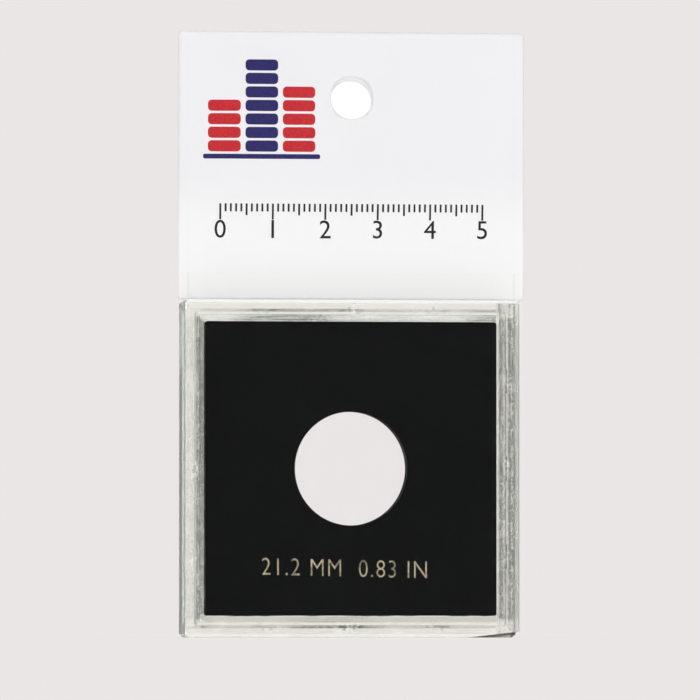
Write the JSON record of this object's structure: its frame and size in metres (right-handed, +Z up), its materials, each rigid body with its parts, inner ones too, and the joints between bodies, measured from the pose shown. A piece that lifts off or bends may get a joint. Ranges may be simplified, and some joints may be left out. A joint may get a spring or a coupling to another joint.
{
  "type": "coin holder",
  "caption": "Clear snap-together square coin case with a black insert bored for a coin, hung from a white two-ply film header with a round hang hole.",
  "frame": {"origin": "centre of the hang hole, where the header's two plies meet", "axes": "+Z up along the header, +X to the right seen from the front, -Y out of the case's front window"},
  "size_m": [0.066, 0.0097, 0.1143],
  "materials": {
    "clear_styrene": "clear gloss, hazy along the rim",
    "black_plate": "matte black with a fine grain",
    "white_film": "white printed film, soft gloss",
    "clear_film": "clear film, slightly milky",
    "clear_adhesive": "clear tacky layer"
  },
  "bodies": {
    "header": {"header_front_film": "white_film", "header_back_film": "white_film"},
    "tray": {"back_shell": "clear_styrene", "hang_tail": "clear_film", "tail_adhesive": "clear_adhesive"},
    "cover": {"front_cover": "clear_styrene"},
    "insert": {"coin_insert": "black_plate"}
  },
  "joints": [
    {"name": "header_fold", "type": "hinge", "parent": "header", "child": "tray", "pos_m": [0, 0.0002, -0.0377], "axis": [1, 0, 0], "range_deg": [-90, 180], "stiffness_Nm_per_rad": 0.003},
    {"name": "cover_pull", "type": "slide", "parent": "tray", "child": "cover", "axis": [0, -1, 0], "range_m": [0, 0.03]},
    {"name": "insert_lift", "type": "slide", "parent": "tray", "child": "insert", "axis": [0, -1, 0], "range_m": [0, 0.015]}
  ],
  "couplings": [
    {"joint": "insert_lift", "follows": "cover_pull", "ratio": 0.5}
  ]
}
